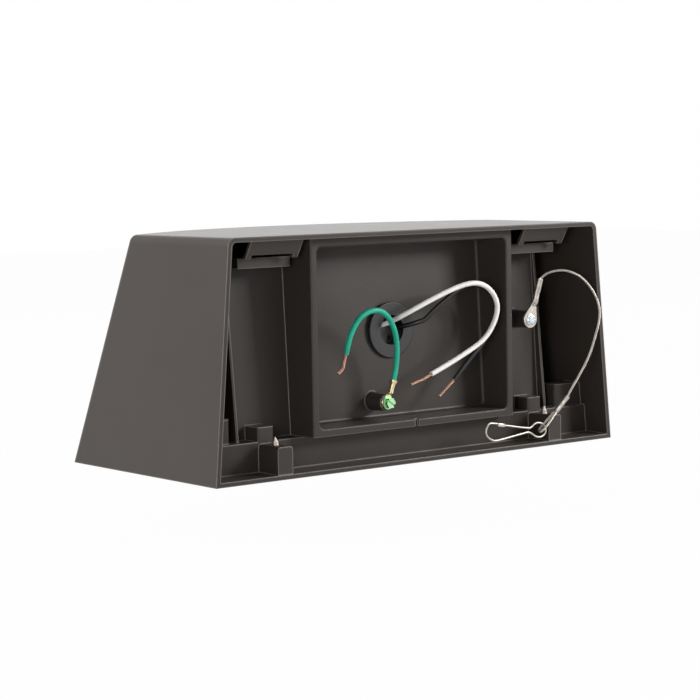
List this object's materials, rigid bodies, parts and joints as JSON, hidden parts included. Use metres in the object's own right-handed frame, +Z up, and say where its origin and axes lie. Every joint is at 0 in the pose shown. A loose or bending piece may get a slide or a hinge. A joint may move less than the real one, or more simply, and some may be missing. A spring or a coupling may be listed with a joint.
{
  "type": "outdoor wall light",
  "caption": "Wedge-shaped die-cast outdoor wall light, open at the rear to show its wiring box, leads, ground screw and lanyard with a snap hook; light leaves downwards.",
  "frame": {"origin": "middle of the bottom edge of the housing's rear face, on the wall plane", "axes": "+Z up the wall, +Y out of the housing into the wall, +X along the wall, to the left for someone who looks at the rear"},
  "size_m": [0.333, 0.2257, 0.15],
  "materials": {
    "cast_bronze": "fine textured powder coat",
    "gland_rubber": "matte",
    "seal_rubber": "matte",
    "ground_green": "green dyed zinc",
    "brass": "satin",
    "green_wire": "satin",
    "white_wire": "satin",
    "black_wire": "satin",
    "copper": "bare stranded copper",
    "zinc_steel": "zinc plated",
    "steel_wire": "bright",
    "plain_aluminium": "mill finish",
    "board_white": "white mask",
    "emitter_yellow": "phosphor",
    "clear_acrylic": "clear",
    "frosted_glass": "frosted",
    "driver_case": "matte"
  },
  "bodies": {
    "housing": {"housing": "cast_bronze", "door_frame": "cast_bronze", "door_seal": "seal_rubber", "door_screws": "zinc_steel", "lens": "frosted_glass", "lens_seal": "seal_rubber", "light_tray": "plain_aluminium", "tray_screws": "zinc_steel", "led_boards": "board_white", "led_emitters": "emitter_yellow", "optic_left": "clear_acrylic", "optic_right": "clear_acrylic", "driver": "driver_case", "driver_screws": "zinc_steel", "wire_gland": "gland_rubber", "gland_nut": "driver_case", "ground_screw": "ground_green", "ground_terminal": "brass", "ground_lead": "green_wire", "ground_lead_end": "copper", "white_lead": "white_wire", "white_lead_end": "copper", "black_lead": "black_wire", "black_lead_end": "copper", "lanyard_screw": "zinc_steel", "lanyard_terminal": "steel_wire", "lanyard_cable": "steel_wire", "lanyard_ferrule": "steel_wire", "lanyard_loop": "steel_wire"},
    "lock_screw_left": {"lock_screw_left": "zinc_steel"},
    "lock_screw_right": {"lock_screw_right": "zinc_steel"},
    "snap_hook": {"snap_hook": "steel_wire"},
    "hook_gate": {"hook_gate": "steel_wire"}
  },
  "joints": [
    {"name": "lock_left_travel", "type": "slide", "parent": "housing", "child": "lock_screw_left", "axis": [0, 0, 1], "range_m": [-0.003, 0.004]},
    {"name": "lock_right_travel", "type": "slide", "parent": "housing", "child": "lock_screw_right", "axis": [0, 0, 1], "range_m": [-0.003, 0.004]},
    {"name": "snap_hook_swing", "type": "hinge", "parent": "housing", "child": "snap_hook", "pos_m": [-0.0989, 0.0016, 0.0115], "axis": [0, 1, 0], "range_deg": [-60, 75]},
    {"name": "gate_flex", "type": "hinge", "parent": "snap_hook", "child": "hook_gate", "pos_m": [-0.0889, 0.0016, 0.0137], "axis": [0, 1, 0], "range_deg": [0, 13], "stiffness_Nm_per_rad": 0.05}
  ]
}
